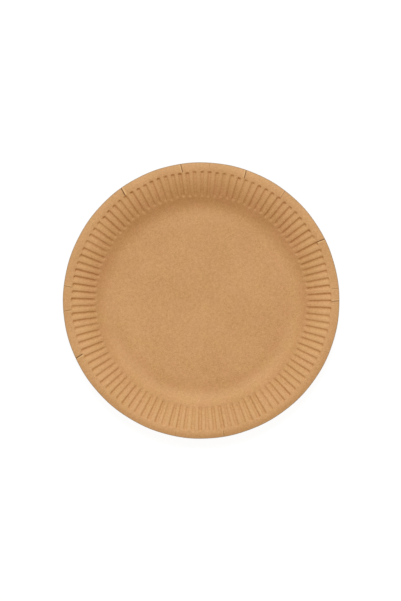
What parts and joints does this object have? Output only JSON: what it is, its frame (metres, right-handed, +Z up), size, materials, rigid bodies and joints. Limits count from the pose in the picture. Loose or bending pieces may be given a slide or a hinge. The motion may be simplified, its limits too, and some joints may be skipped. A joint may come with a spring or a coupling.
{
  "type": "paper plate",
  "caption": "Round disposable plate pressed from kraft board, with a flat floor, a fluted sloping wall and a turned-down rim, for serving food.",
  "frame": {"origin": "centre of the plate, on the surface that its foot ring stands on", "axes": "+Z up, towards the food; +X and +Y lie in the surface that the plate stands on"},
  "size_m": [0.23, 0.23, 0.0142],
  "materials": {
    "kraft_board": "uncoated natural kraft board, matt to faintly satin, pressed smooth"
  },
  "bodies": {
    "root": {"plate": "kraft_board"}
  },
  "joints": []
}
